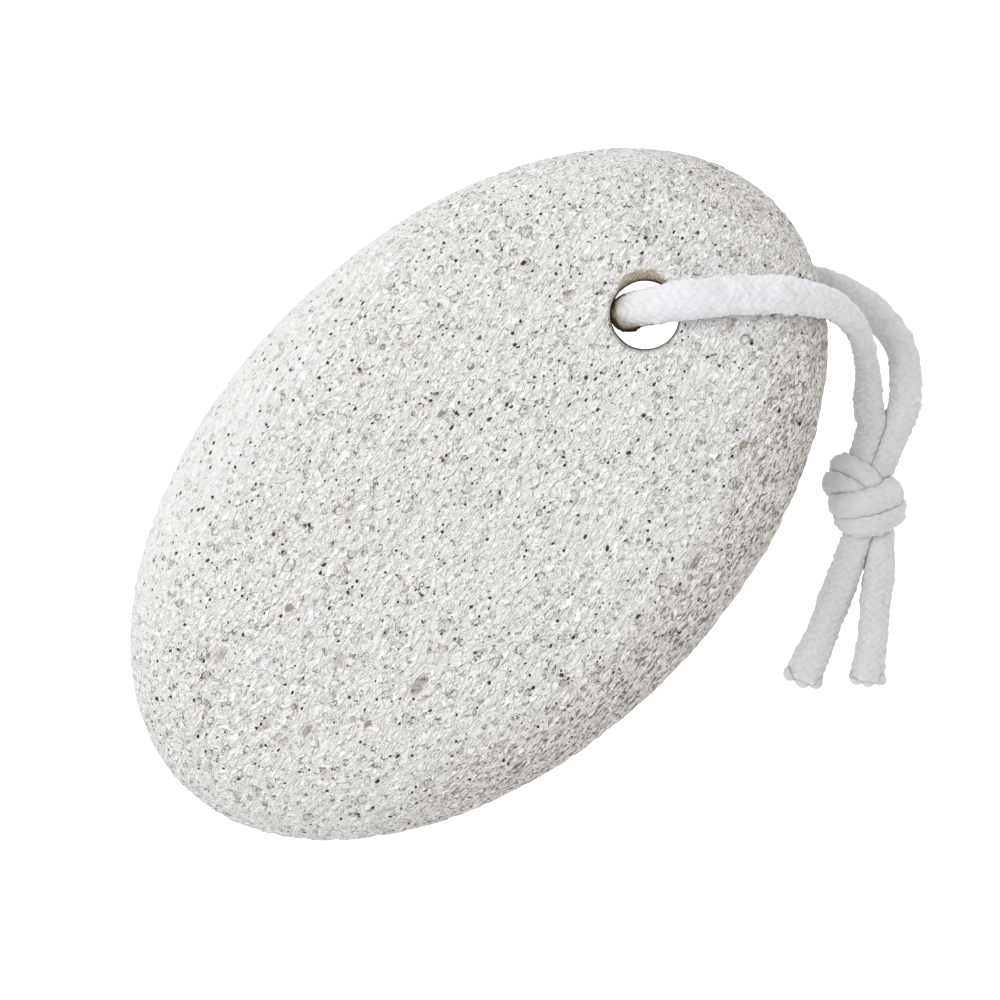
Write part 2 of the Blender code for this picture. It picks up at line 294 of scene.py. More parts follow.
class Wire:
    """One socket of a material's node tree. Sums written with wires add their Math nodes, and
    node() adds any other node."""

    def __init__(self, tree, socket=None):
        self.tree, self.socket = tree, socket

    def node(self, kind, settings=(), inputs=(), out=0):
        """Adds a node: its settings first, then the values or wires of its sockets."""
        made = self.tree.nodes.new(kind)
        for name, value in dict(settings).items():
            if name == "stops":
                while len(made.color_ramp.elements) < len(value):
                    made.color_ramp.elements.new(0.5)
                for element, (position, colour) in zip(made.color_ramp.elements, value):
                    element.position, element.color = position, (*colour, 1)
            else:
                setattr(made, name, value)
        for name, value in dict(inputs).items():
            if isinstance(value, Wire):
                self.tree.links.new(value.socket, made.inputs[name])
            else:
                made.inputs[name].default_value = value
        return Wire(self.tree, made.outputs[out] if made.outputs else None)

    def beside(self, out):
        """Another output of the same node."""
        return Wire(self.tree, self.socket.node.outputs[out])

    def math(self, operation, *values):
        """A Math node of that operation on the values or wires."""
        return self.node("ShaderNodeMath", {"operation": operation}, dict(enumerate(values)))

    def step(self, start, end):
        """0 below start and 1 above end, smooth between; the other way round if end is lower."""
        sockets = {"Value": self, "From Min": start, "From Max": end}
        return self.node("ShaderNodeMapRange", {"interpolation_type": "SMOOTHSTEP"}, sockets)

    def mix(self, first, second):
        """The first colour where this wire is 0 and the second where it is 1."""
        colours = {0: self, 6: colour4(first), 7: colour4(second)}
        return self.node("ShaderNodeMix", {"data_type": "RGBA"}, colours, out=2)

    def __add__(self, other):
        return self.math("ADD", self, other)

    def __sub__(self, other):
        return self.math("SUBTRACT", self, other)

    def __rsub__(self, other):
        return self.math("SUBTRACT", other, self)

    def __mul__(self, other):
        return self.math("MULTIPLY", self, other)

    __radd__, __rmul__ = __add__, __mul__


def colour4(value):
    """A colour's three numbers with an opacity of 1; a wire stays as it is."""
    return value if isinstance(value, Wire) else (*value, 1)


def new_material(name):
    """An empty material and the wire that its first nodes are added with."""
    material = bpy.data.materials.new(name)
    material.use_nodes = True
    material.node_tree.nodes.clear()
    return material, Wire(material.node_tree)


def finish_material(start, colour, roughness, normal, **sockets):
    """The Principled shader and the output, with any further sockets by their names."""
    inputs = {"Base Color": colour, "Roughness": roughness, "Normal": normal}
    inputs.update({name.replace("_", " "): value for name, value in sockets.items()})
    shader = start.node("ShaderNodeBsdfPrincipled", {}, inputs)
    start.node("ShaderNodeOutputMaterial", {}, {"Surface": shader})


# colours of the dry stone: walls of the cells with their painted shade, warm painted bounce light and a
# greyer side, then painted shade and tan dust between and in them
WALL, SHADED_WALL = (0.96, 0.95, 0.935), (0.74, 0.72, 0.69)
WARM_BOUNCE_LIT_WALL, GREYER_WALL = (1.0, 0.92, 0.84), (0.77, 0.76, 0.75)
BOWL_SHADE, SMALL_BOWL_SHADE, PIT_SHADE = (0.55, 0.52, 0.47), (0.52, 0.48, 0.43), (0.50, 0.46, 0.41)
FURROW_SHADOW, RIM_AND_FOLD_SHADE, SLOT_SHADE = (0.22, 0.16, 0.125), (0.15, 0.115, 0.09), (0.065, 0.05, 0.04)
TAN_DUST = (0.36, 0.33, 0.25)
# colours of the drilled wall: deep down, at its mouth, and of its specks
BORE_DEEP, BORE_MOUTH, BORE_SPECK = (0.56, 0.46, 0.35), (0.74, 0.64, 0.50), (0.46, 0.38, 0.29)
# height of the material's relief in metres
PORE_RELIEF = 0.00032


def pumice_material():
    """Ground pumice: drawn-out cells with bright walls and painted shade in the valleys of their
    streaks, painted shade along the thin rims of cut bubbles and folds of torn wall, in the open
    bubbles and in the hollows of the mesh's relief, near-black painted shade in the slots and
    pinholes, a few bubbles with tan dust in them, and a dusty tan bore, darker deeper down. One long
    side is furrowed, with painted shadow in its furrows and painted warm bounce light over it, and
    the side opposite is worn smoother, and greyer."""
    material, start = new_material("pumice")
    place = start.node("ShaderNodeTexCoord", {}, {}, out="Object")

    def drawn_out(stretch):
        """Places turned to the flow and pressed together along it."""
        sockets = {"Vector": place, "Rotation": (0, 0, FLOW_TURN), "Scale": (stretch, 1, 1)}
        return start.node("ShaderNodeMapping", {"vector_type": "TEXTURE"}, sockets)

    def noise(vector, size, detail, out="Fac"):
        """Noise whose largest waves are about that many millimetres long."""
        sockets = {"Vector": vector, "Scale": 1 / (size * MM), "Detail": detail, "Roughness": 0.6}
        return start.node("ShaderNodeTexNoise", {}, sockets, out)

    def swayed(vector, size, reach, detail=1):
        """Places moved about by noise of that size, by up to half the reach."""
        sway = {0: noise(vector, size, detail, "Color"), 1: (0.5, 0.5, 0.5)}
        sway = start.node("ShaderNodeVectorMath", {"operation": "SUBTRACT"}, sway)
        sway = {0: sway, "Scale": reach * MM}
        sway = start.node("ShaderNodeVectorMath", {"operation": "SCALE"}, sway)
        return start.node("ShaderNodeVectorMath", {}, {0: vector, 1: sway})

    def balls(vector, size):
        """Distance to the nearest of scattered points, and three chance numbers of that point."""
        sockets = {"Vector": vector, "Scale": 1 / (size * MM)}
        away = start.node("ShaderNodeTexVoronoi", {}, sockets, "Distance")
        picked = start.node("ShaderNodeSeparateColor", {}, {"Color": away.beside("Color")}, "Red")
        return away, picked, picked.beside("Green"), picked.beside("Blue")

    def highest(*wires):
        """The highest of the wires at each place."""
        total = wires[0]
        for wire in wires[1:]:
            total = start.math("MAXIMUM", total, wire)
        return total

    flow, round_flow = drawn_out(FLOW_STRETCH), drawn_out(1.35)
    bent, round_bent = swayed(flow, 1.6, 0.7), swayed(round_flow, 1.4, 0.6)
    swept, crumbly = swayed(flow, 1.1, 0.9, 2), swayed(round_bent, 0.35, 0.25)

    # round the stone's edge: the furrowed long side, the end by the hole, and the worn long side
    sides = (1 / (HALF_LENGTH * MM), 1 / (HALF_WIDTH * MM), 0)
    sides = start.node("ShaderNodeVectorMath", {"operation": "MULTIPLY"}, {0: place, 1: sides})
    edge_share = start.node("ShaderNodeVectorMath", {"operation": "LENGTH"}, {0: sides}, out="Value")
    towards = start.node("ShaderNodeSeparateXYZ", {}, {"Vector": sides}, out="X")
    long_side = (towards * 0.2 - towards.beside("Y") * 0.98).step(0.35, 0.85)
    furrowed = highest(edge_share.step(0.72, 0.90) * long_side, towards.step(0.78, 0.95) * 0.3)
    worn = (towards * 0.35 - towards.beside("Y") * 0.94).step(-0.60, -0.95)

    def bubbles_cut(vector, size, share, least, most, rim_width):
        """A share of the balls cut open: their bowls, the thin rims round them and a chance shade."""
        away, picked, chance_size, shade = balls(vector, size)
        some = picked.step(1 - share, 1.03 - share)
        radius = chance_size * ((most - least) / size) + least / size
        bowl = (away - radius).step(0, -0.25 * least / size) * some
        rim = start.math("ABSOLUTE", away - radius * 0.95).step(rim_width / size, rim_width / size * 0.3)
        return bowl, rim * some, shade

    patches, fine_patches = noise(place, 0.9, 1), noise(place, 0.6, 1)
    large_bowl, large_rim, large_shade = bubbles_cut(
        round_bent, size=2.0, share=0.28, least=0.35, most=0.66, rim_width=0.13
    )
    small_bowl, small_rim, small_shade = bubbles_cut(
        round_bent, size=1.05, share=0.46, least=0.20, most=0.38, rim_width=0.12
    )
    rims = highest(large_rim * patches.step(0.44, 0.56), small_rim * fine_patches.step(0.44, 0.58))

    def folds(vector, size, detail, width, broken):
        """The level line of a noise, where the patches leave it: a thin wall folded by the flow."""
        away = start.math("ABSOLUTE", noise(vector, size, detail) - 0.5)
        return away.step(width, width * 0.3) * broken.step(0.52, 0.62)

    large_folds = folds(bent, size=0.95, detail=0, width=0.05, broken=fine_patches)
    small_folds = folds(swept, size=0.55, detail=1, width=0.06, broken=patches)
    marks = highest(large_folds, small_folds * 0.7, rims)

    def slots(vector, size, share, least, most):
        """Small openings, which the colour fills with near-black painted shade: balls of a chance size,
        a share of all.
        """
        away, picked, chance_size, _ = balls(vector, size)
        radius = chance_size * ((most - least) / size) + least / size
        return start.math("DIVIDE", away, radius).step(1.0, 0.55) * (picked + share).step(0.99, 1.01)

    pinholes = slots(crumbly, size=0.62, share=0.26 + furrowed * 0.08, least=0.08, most=0.21)
    slot = highest(pinholes, slots(crumbly, size=1.5, share=0.32, least=0.12, most=0.29))

    streak = noise(swept, 0.52, 3).step(0.35, 0.66)
    long_flow = swayed(drawn_out(3.0), 1.5, 0.8)
    furrow = noise(long_flow, 0.33, 2).step(0.44, 0.36) * furrowed
    grain = noise(place, 0.13, 2)
    dust_away, dust_picked, _, _ = balls(crumbly, 3.4)
    dusty = dust_away.step(0.15, 0.12) * dust_picked.step(0.87, 0.89)
    pit_shade_mask = start.node("ShaderNodeAttribute", {"attribute_name": "pits"}, {}, out="Fac")

    smoothness = 1 - worn * 0.5
    height = streak * (furrowed * 0.3 + 0.8) * smoothness + grain * 0.2 - slot * 1.2 - furrow * 2.2
    height = height - (marks * 0.4 + large_bowl * 0.6 + small_bowl * 0.45) * smoothness
    relief = {"Strength": 1.0, "Distance": PORE_RELIEF, "Height": height}
    normal = start.node("ShaderNodeBump", {}, relief)

    colour = ((1 - streak) * 0.35).mix(WALL, SHADED_WALL)
    # painted warm bounce light over the furrowed long side, as if from the table below
    colour = (furrowed * 0.45).mix(colour, WARM_BOUNCE_LIT_WALL)
    # the long side opposite the furrows is greyer
    colour = (worn * 0.6).mix(colour, GREYER_WALL)
    # painted shade in the open bubbles, darker in some than in others at random
    colour = (large_bowl * (large_shade * 0.4 + 0.05)).mix(colour, BOWL_SHADE)
    colour = (small_bowl * small_shade.step(0.5, 1.0) * 0.6).mix(colour, SMALL_BOWL_SHADE)
    # painted shade in the hollows of the mesh's relief, by their depth
    colour = pit_shade_mask.step(0.45, 1.1).mix(colour, PIT_SHADE)
    # painted shadow in the furrows of the long side that faces away from the lamp
    colour = (furrow * 0.82).mix(colour, FURROW_SHADOW)
    # painted shade along the rims of cut bubbles and the folds, in noise patches and less on the worn
    # side
    dark = noise(place, 0.7, 2).step(0.42, 0.64)
    colour = (marks * (dark * 0.75 + 0.05) * smoothness).mix(colour, RIM_AND_FOLD_SHADE)
    colour = (dusty * 0.85).mix(colour, TAN_DUST)
    # painted shade: the slots and pinholes are coloured near black, more of them on the furrowed side
    colour = slot.mix(colour, SLOT_SHADE)

    bore = start.node("ShaderNodeAttribute", {"attribute_name": "bore"}, {}, out="Fac")
    level = start.node("ShaderNodeSeparateXYZ", {}, {"Vector": place}, out="Z")
    # millimetres towards the chipped side of the mouth
    aside = {0: place, 1: (0.79 / MM, 0.61 / MM, 0)}
    aside = start.node("ShaderNodeVectorMath", {"operation": "DOT_PRODUCT"}, aside, "Value")
    edge = level.step(0.0255, 0.0262)
    # the bore's tan is darker deeper down the hole
    dust = level.step(0.018, 0.0262).mix(BORE_DEEP, BORE_MOUTH)
    dust = (grain.step(0.35, 0.7) * 0.4).mix(dust, BORE_SPECK)
    dusted = (1 - edge) * 0.95 + edge * (aside.step(24.0, 26.5) * 0.65 + 0.2)
    colour = (bore * dusted).mix(colour, dust)
    finish_material(start, colour, 0.92, normal, Specular_IOR_Level=0.25)
    return material


drilled.materials.clear()
drilled.materials.append(pumice_material())
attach(stone, "root")
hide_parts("stone")

# ---- The cord --------------------------------------------------------------------------------
# One length of soft white braid, heat-cut at both ends. It goes down through the hole, comes back
# under the stone, and both of its strands are tied together in one overhand knot beside it.

CORD_RADIUS = 1.9
ACROSS = np.array([0.713, -0.701, 0.0])
ALONG = np.array([0.701, 0.713, 0.0])
KNOT_MIDDLE = np.array([31.0, -32.0, 4.0])

# x, y, z, half height and half width of the cord: from the knot's top over the face, down the
# hole, back under the stone and round to the knot
LOOP_ROUTE = [
    (37.1, -26.7, 4.0, 1.8, 1.7), (39.4, -24.5, 4.3, 2.0, 1.6), (42.4, -20.9, 6.9, 1.75, 1.35),
    (44.1, -17.0, 13.4, 1.6, 1.35), (43.5, -13.0, 20.9, 1.6, 1.7), (40.6, -8.8, 25.5, 1.7, 2.1),
    (36.6, -4.8, 26.9, 1.7, 2.2), (33.0, -1.9, 28.1, 1.7, 2.25), (29.6, 0.7, 27.9, 1.7, 2.2),
    (27.0, 2.5, 25.2, 1.9, 1.9), (26.4, 2.9, 21.0, 1.9, 1.9), (26.5, 2.8, 14.5, 1.9, 1.9),
    (26.9, 2.6, 8.5, 1.9, 1.9), (28.0, 2.3, 4.4, 1.7, 1.9), (30.3, 1.0, 2.0, 1.6, 2.0),
    (33.4, -1.2, 1.65, 1.6, 2.0), (38.4, -3.9, 1.7, 1.7, 1.95), (43.4, -7.2, 1.85, 1.8, 1.9),
    (46.6, -12.2, 1.95, 1.85, 1.8), (47.8, -17.3, 1.95, 1.85, 1.8), (46.9, -22.6, 2.0, 1.85, 1.8),
    (43.5, -26.7, 2.6, 1.8, 1.75), (39.9, -29.0, 3.5, 1.7, 1.6),
]
LEFT_TAIL_ROUTE = [
    (26.0, -35.4, 3.0, 1.6, 1.7), (24.0, -36.5, 2.5, 1.8, 1.85), (21.5, -37.6, 2.0, 1.95, 1.9),
    (17.0, -39.6, 1.98, 1.95, 1.85), (11.9, -41.7, 1.98, 1.95, 2.25),
]
RIGHT_TAIL_ROUTE = [
    (28.2, -37.7, 3.0, 1.6, 1.5), (26.7, -39.2, 2.5, 1.8, 1.6), (24.6, -41.0, 2.0, 1.95, 1.76),
    (21.0, -44.1, 1.98, 1.95, 1.74), (17.2, -47.0, 1.98, 1.95, 2.05),
]
# the middle of the two strands in a loose overhand knot: across, along and towards the top
LOOSE_KNOT = [
    (3.6, 13.6, -0.1), (2.2, 8.6, -0.4), (0.3, 3.3, -0.7), (-0.7, -3.0, -1.1), (-2.0, -6.2, -1.6),
    (-5.0, -6.2, 0.2), (-4.8, -4.0, 4.0), (-0.4, -2.2, 6.2), (4.8, -1.0, 4.5), (7.2, -0.2, -0.2),
    (5.5, 0.6, -4.5), (0.4, 1.8, -6.2), (-4.7, 3.0, -3.8), (-5.7, 4.8, 0.6), (-2.5, 6.8, 2.5),
    (1.2, 6.5, 1.5), (1.6, 3.0, 0.7), (1.6, -3.0, 0.5), (1.5, -8.0, 0.2), (1.4, -13.0, -0.0),
]
KNOT_STEPS = 110
KNOT_ROUNDS = 1100
STRAND_GAP = 1.74
KNOT_RADIUS = 1.88
# how strongly a strand pulls short and keeps straight in one round, and the most it may move
KNOT_PULL, KNOT_STIFFNESS, KNOT_MOVE = 0.3, 0.35, 0.12
# points at each strand's top and bottom that stay where they are
HELD_ABOVE, HELD_BELOW = 7, 3


def smooth_line(route, count):
    """A smooth curve through the route's points (Catmull-Rom), read at that many equal steps. All
    columns of the route go along."""
    p = np.asarray(route, float)
    p = np.vstack([2 * p[0] - p[1], p, 2 * p[-1] - p[-2]])
    t = np.linspace(0, 1, 32, endpoint=False)[:, None, None]
    a, b, c, d = (p[k:len(p) - 3 + k][None] for k in range(4))
    s = b + 0.5 * ((c - a) * t + (2 * a - 5 * b + 4 * c - d) * t**2 + (3 * b - a - 3 * c + d) * t**3)
    s = np.vstack([s.transpose(1, 0, 2).reshape(-1, p.shape[1]), p[-2]])
    return even_steps(s, count)


def even_steps(line, count):
    """The same line with its points at equal distances along it."""
    run = np.r_[0, np.cumsum(np.linalg.norm(np.diff(line[:, :3], axis=0), axis=1))]
    even = np.linspace(0, run[-1], count)
    return np.stack([np.interp(even, run, column) for column in line.T], axis=1)


def to_knot(place):
    """A place in the stone's frame as across, along and up from the knot's middle."""
    offset = np.asarray(place, float)[..., :3] - KNOT_MIDDLE
    return np.stack([offset @ ACROSS, offset @ ALONG, offset[..., 2]], axis=-1)


def from_knot(place):
    """The way back: a place across, along and up from the knot's middle, in the stone's frame."""
    return KNOT_MIDDLE + place[..., :1] * ACROSS + place[..., 1:2] * ALONG + place[..., 2:] * (0, 0, 1)


def tied_knot():
    """Both strands through the knot, from top to bottom. They start side by side along the loose
    knot; then, round after round, each point moves towards the middle of its neighbours, which
    pulls the strands short, and points of different turns that are closer than the strands'
    thickness push each other apart."""
    middle = smooth_line(LOOSE_KNOT, KNOT_STEPS)
    tangent = np.gradient(middle, axis=0)
    tangent /= np.linalg.norm(tangent, axis=1, keepdims=True)
    steep = np.abs(tangent[:, 1:2])
    guide = steep * (1, 0, 0) + (1 - steep) * (0, -1, 0)
    side = np.zeros_like(middle)
    last = np.array([1.0, 0, 0])
    for k, t in enumerate(tangent):
        g = guide[k] - t * (guide[k] @ t)
        g = last + 0.15 * (g if g @ last > 0 else -g) / (np.linalg.norm(g) + 1e-9)
        g -= t * (g @ t)
        side[k] = last = g / np.linalg.norm(g)
    strands = np.stack([middle - side, middle + side])
    for strand, above, below in zip(
        strands,
        (LOOP_ROUTE[:2], LOOP_ROUTE[-1:-3:-1]),
        (RIGHT_TAIL_ROUTE[:2], LEFT_TAIL_ROUTE[:2]),
    ):
        strand[:2] = to_knot(above)[::-1]
        strand[-2:] = to_knot(below)
        strand[:] = even_steps(strand, KNOT_STEPS)

    own = np.repeat([0, 1], KNOT_STEPS)
    order = np.tile(np.arange(KNOT_STEPS), 2)
    other = own[:, None] != own[None]
    loose = slice(HELD_ABOVE, -HELD_BELOW)
    for turn in range(KNOT_ROUNDS):
        thickness = STRAND_GAP * min(1, 0.55 + 1.5 * turn / KNOT_ROUNDS)
        step = np.linalg.norm(np.diff(strands, axis=1), axis=2).mean()
        pull = np.zeros_like(strands)
        pull[:, 1:-1] = (strands[:, :-2] + strands[:, 2:]) / 2 - strands[:, 1:-1]
        bend = np.zeros_like(strands)
        bend[:, 1:-1] = (pull[:, :-2] + pull[:, 2:]) / 2 - pull[:, 1:-1]
        move = KNOT_PULL * pull - KNOT_STIFFNESS * bend
        size = np.linalg.norm(move, axis=2, keepdims=True)
        strands[:, loose] += (move * np.minimum(1, KNOT_MOVE / np.maximum(size, 1e-9)))[:, loose]
        far = other | (np.abs(order[:, None] - order[None]) > max(3, math.ceil(1.7 * thickness / step)))
        for _ in range(3):
            flat = strands.reshape(-1, 3)
            apart = flat[:, None] - flat[None]
            gap = np.linalg.norm(apart, axis=2)
            close = far & (gap < thickness)
            share = np.where(close, (thickness - gap) / np.maximum(gap, 1e-6), 0)
            push = 0.8 * (apart * share[..., None]).sum(1) / np.maximum(1, close.sum(1))[:, None]
            strands[:, loose] += push.reshape(strands.shape)[:, loose]
        if turn % 5 == 0:
            for strand in strands:
                strand[:] = even_steps(strand, KNOT_STEPS)
    return from_knot(strands)


AROUND = 72
RINGS = 1180
STITCHES = 12
STITCH_LENGTH = 1.0
STITCH_SLANT = 0.75
STITCH_HEIGHT = 0.14
# size and height of the waves of loose fibre on the braid, and of those on the melted beads
LONG_FUZZ, SHORT_FUZZ, BEAD_WAVES = (1.0, 0.14), (0.45, 0.12), (0.7, 0.14)
# how far a turn may press past half way into the next one, and how softly it is cut there
PRESSED_IN, SOFT_CUT = 0.3, 0.35
CAP_RINGS = 6
CAP_RISE = 0.5
BEAD_RINGS = 14
BEAD_HEIGHT = 1.35
LEAST_LIFT = 0.03
# melted beads at each end: across, ahead and radius
BEADS_LEFT = [(-1.6, -0.15, 0.9), (-0.15, 0.3, 0.95), (1.4, 0.1, 0.9)]
BEADS_RIGHT = [(-1.4, -0.15, 0.9), (-0.25, 0.25, 0.9), (1.15, 0.1, 0.95)]


def widths(line, height, width):
    """The line with a half height and a half width in two more columns."""
    return np.column_stack([line, np.full(len(line), height), np.full(len(line), width)])


first_strand, second_strand = tied_knot()
whole = np.vstack([
    np.array(RIGHT_TAIL_ROUTE[:1:-1]),
    widths(first_strand[::-4], KNOT_RADIUS, KNOT_RADIUS),
    np.array(LOOP_ROUTE[2:-2]),
    widths(second_strand[::4], KNOT_RADIUS, KNOT_RADIUS),
    np.array(LEFT_TAIL_ROUTE[2:]),
])
cord_line = smooth_line(whole, RINGS)


def softened(columns, reach):
    """Each column averaged with its neighbours up to that many rings away, by a bell curve."""
    bell = np.exp(-np.linspace(-2, 2, 2 * reach + 1) ** 2)
    wider = np.pad(columns, ((reach, reach), (0, 0)), mode="reflect", reflect_type="odd")
    return np.stack([np.convolve(column, bell / bell.sum(), "valid") for column in wider.T], axis=1)


cord_line = np.column_stack([softened(cord_line[:, :3], 6), softened(cord_line[:, 3:], 18)])
cord_line = even_steps(cord_line, RINGS)


def frames(line):
    """Two directions square to the line at each point, carried along it without twisting: each
    pair is the last one with what lies along the line taken out."""
    tangent = np.gradient(line, axis=0)
    tangent /= np.linalg.norm(tangent, axis=1, keepdims=True)
    first = np.zeros_like(line)
    last = np.cross(tangent[0], (0, 0, 1.0))
    for k, t in enumerate(tangent):
        last = last - t * (last @ t)
        first[k] = last = last / np.linalg.norm(last)
    return tangent, first, np.cross(tangent, first)


def braid(turn, run):
    """Height of the braid, 0 to 1: columns of stitches run along the cord, each stitch a rounded
    ridge that slants one way in one column and the other way in the next, so that they lock in a
    row of arrows. Across a column the height falls as half an ellipse, along it as a cosine."""
    column = turn * STITCHES
    across = column - np.floor(column) - 0.5
    lean = np.where(np.floor(column) % 2 == 0, STITCH_SLANT, -STITCH_SLANT)
    along = run / STITCH_LENGTH + across * lean + 0.5 * (np.floor(column) % 2)
    ridge = 0.5 + 0.5 * np.cos(2 * np.pi * along)
    return ridge * (0.6 + 0.4 * (1 - (2 * across) ** 2) ** 0.5)


def cord_surface():
    """The braid carried along the cord: round by default, made lower and wider by the two last
    columns of its line, cut back half way to any other turn that it touches, and closed at the
    ends by a low dome."""
    line, height, width = cord_line[:, :3], cord_line[:, 3], cord_line[:, 4]
    tangent, first, second = frames(line)
    turn = np.arange(AROUND) / AROUND
    spoke = np.cos(2 * np.pi * turn)[None, :, None] * first[:, None]
    spoke = spoke + np.sin(2 * np.pi * turn)[None, :, None] * second[:, None]

    up = np.array([0, 0, 1.0]) - tangent * tangent[:, 2:]
    level = np.clip((np.linalg.norm(up, axis=1) - 0.2) / 0.3, 0, 1)
    up /= np.maximum(np.linalg.norm(up, axis=1, keepdims=True), 1e-6)
    sideways = np.cross(tangent, up)
    plain = np.sqrt(height * width)
    tall, wide = (plain + (size - plain) * level for size in (height, width))
    lift = np.einsum("ijk,ik->ij", spoke, up)[..., None] * up[:, None] * tall[:, None, None]
    reach = np.einsum("ijk,ik->ij", spoke, sideways)[..., None] * sideways[:, None] * wide[:, None, None]
    offset = lift + reach

    step = np.linalg.norm(np.diff(line, axis=0), axis=1).mean()
    run = np.arange(RINGS) * step
    stitches = braid(turn[None], run[:, None])
    size = np.linalg.norm(offset, axis=2)
    direction = offset / size[..., None]
    rough = (line[:, None] + direction * size[..., None]).reshape(-1, 3)
    fuzz = waves(rough, *LONG_FUZZ, 51) + waves(rough, *SHORT_FUZZ, 52)
    size = size + STITCH_HEIGHT * (stitches - 0.4) + fuzz.reshape(size.shape)

    apart = line[None] - line[:, None]
    gap = np.linalg.norm(apart, axis=2)
    near = (gap < 2.2 * CORD_RADIUS) & (np.abs(run[:, None] - run[None]) > 1.6 * CORD_RADIUS)
    for ring in np.flatnonzero(near.any(1)):
        others = np.flatnonzero(near[ring])[::2]
        towards = direction[ring] @ (apart[ring, others] / gap[ring, others, None]).T
        limit = np.where(towards > 0.05, gap[ring, others] / 2 / np.maximum(towards, 0.05), 99)
        cut = limit.min(1) + PRESSED_IN
        size[ring] = -SOFT_CUT * np.log(np.exp(-size[ring] / SOFT_CUT) + np.exp(-cut / SOFT_CUT))
    points = line[:, None] + direction * size[..., None]

    caps = []
    for end, way in ((0, -1), (-1, 1)):
        rise = np.linspace(0, np.pi / 2, CAP_RINGS + 2)[1:-1, None, None]
        rings = line[end] + (points[end] - line[end]) * np.cos(rise) ** 0.5
        caps.append(rings + way * tangent[end] * CAP_RISE * np.sin(rise))
    points = np.vstack([caps[0][::-1], points, caps[1]])
    first_row, last_row = (np.repeat(row, CAP_RINGS, 0) for row in (stitches[:1], stitches[-1:]))
    stitches = np.vstack([first_row, stitches, last_row])
    points[..., 2] = np.maximum(points[..., 2], LEAST_LIFT)
    rows = len(points)
    index = np.arange(rows * AROUND).reshape(rows, AROUND)
    beside = np.roll(index, -1, axis=1)
    faces = np.stack([index[:-1], beside[:-1], beside[1:], index[1:]], axis=-1).reshape(-1, 4)
    return points.reshape(-1, 3), faces, [index[0][::-1], index[-1]], stitches.ravel()


def melted_beads(first_point, count):
    """The beads that the hot knife leaves across each end: egg shapes, taller than wide, that stand
    a little proud of it, each a grid of sines and cosines roughened by smooth noise and closed at
    both poles."""
    beads, faces, poles = [], [], []
    up, around = np.linspace(0, np.pi, count + 2)[1:-1], np.arange(2 * count) / count * np.pi
    egg = np.stack([
        np.sin(up)[:, None] * np.cos(around),
        np.sin(up)[:, None] * np.sin(around),
        np.cos(up)[:, None] + 0 * around,
    ], axis=-1).reshape(-1, 3)
    index = np.arange(len(egg)).reshape(count, 2 * count)
    beside = np.roll(index, -1, axis=1)
    quads = np.stack([index[:-1], index[1:], beside[1:], beside[:-1]], axis=-1).reshape(-1, 4)
    for end, way, sizes in ((0, -1, BEADS_RIGHT), (-1, 1, BEADS_LEFT)):
        along = cord_line[end, :3] - cord_line[end - way * 4, :3]
        along /= np.linalg.norm(along)
        aside = np.array([along[1], -along[0], 0])
        for across, ahead, radius in sizes:
            middle = cord_line[end, :3] + aside * across + along * ahead
            places = middle + egg * (radius, radius, BEAD_HEIGHT)
            places += egg * waves(places, *BEAD_WAVES, 61)[:, None]
            start = first_point + len(egg) * len(beads)
            faces.append(quads + start)
            poles += [index[0] + start, index[-1][::-1] + start]
            beads.append(places)
    return np.vstack(beads), np.vstack(faces), poles


# colours of the braid: painted shade low beside the stone, unshaded over its face, painted shade between
# the stitches with a grey mottle, and stone dust with painted shade in the hole
SHADED_CORD, UNSHADED_CORD = (0.67, 0.67, 0.672), (0.80, 0.805, 0.825)
CREASE_SHADE_AND_MOTTLE, HOLE_DUST_AND_SHADE = (0.60, 0.60, 0.61), (0.66, 0.54, 0.40)


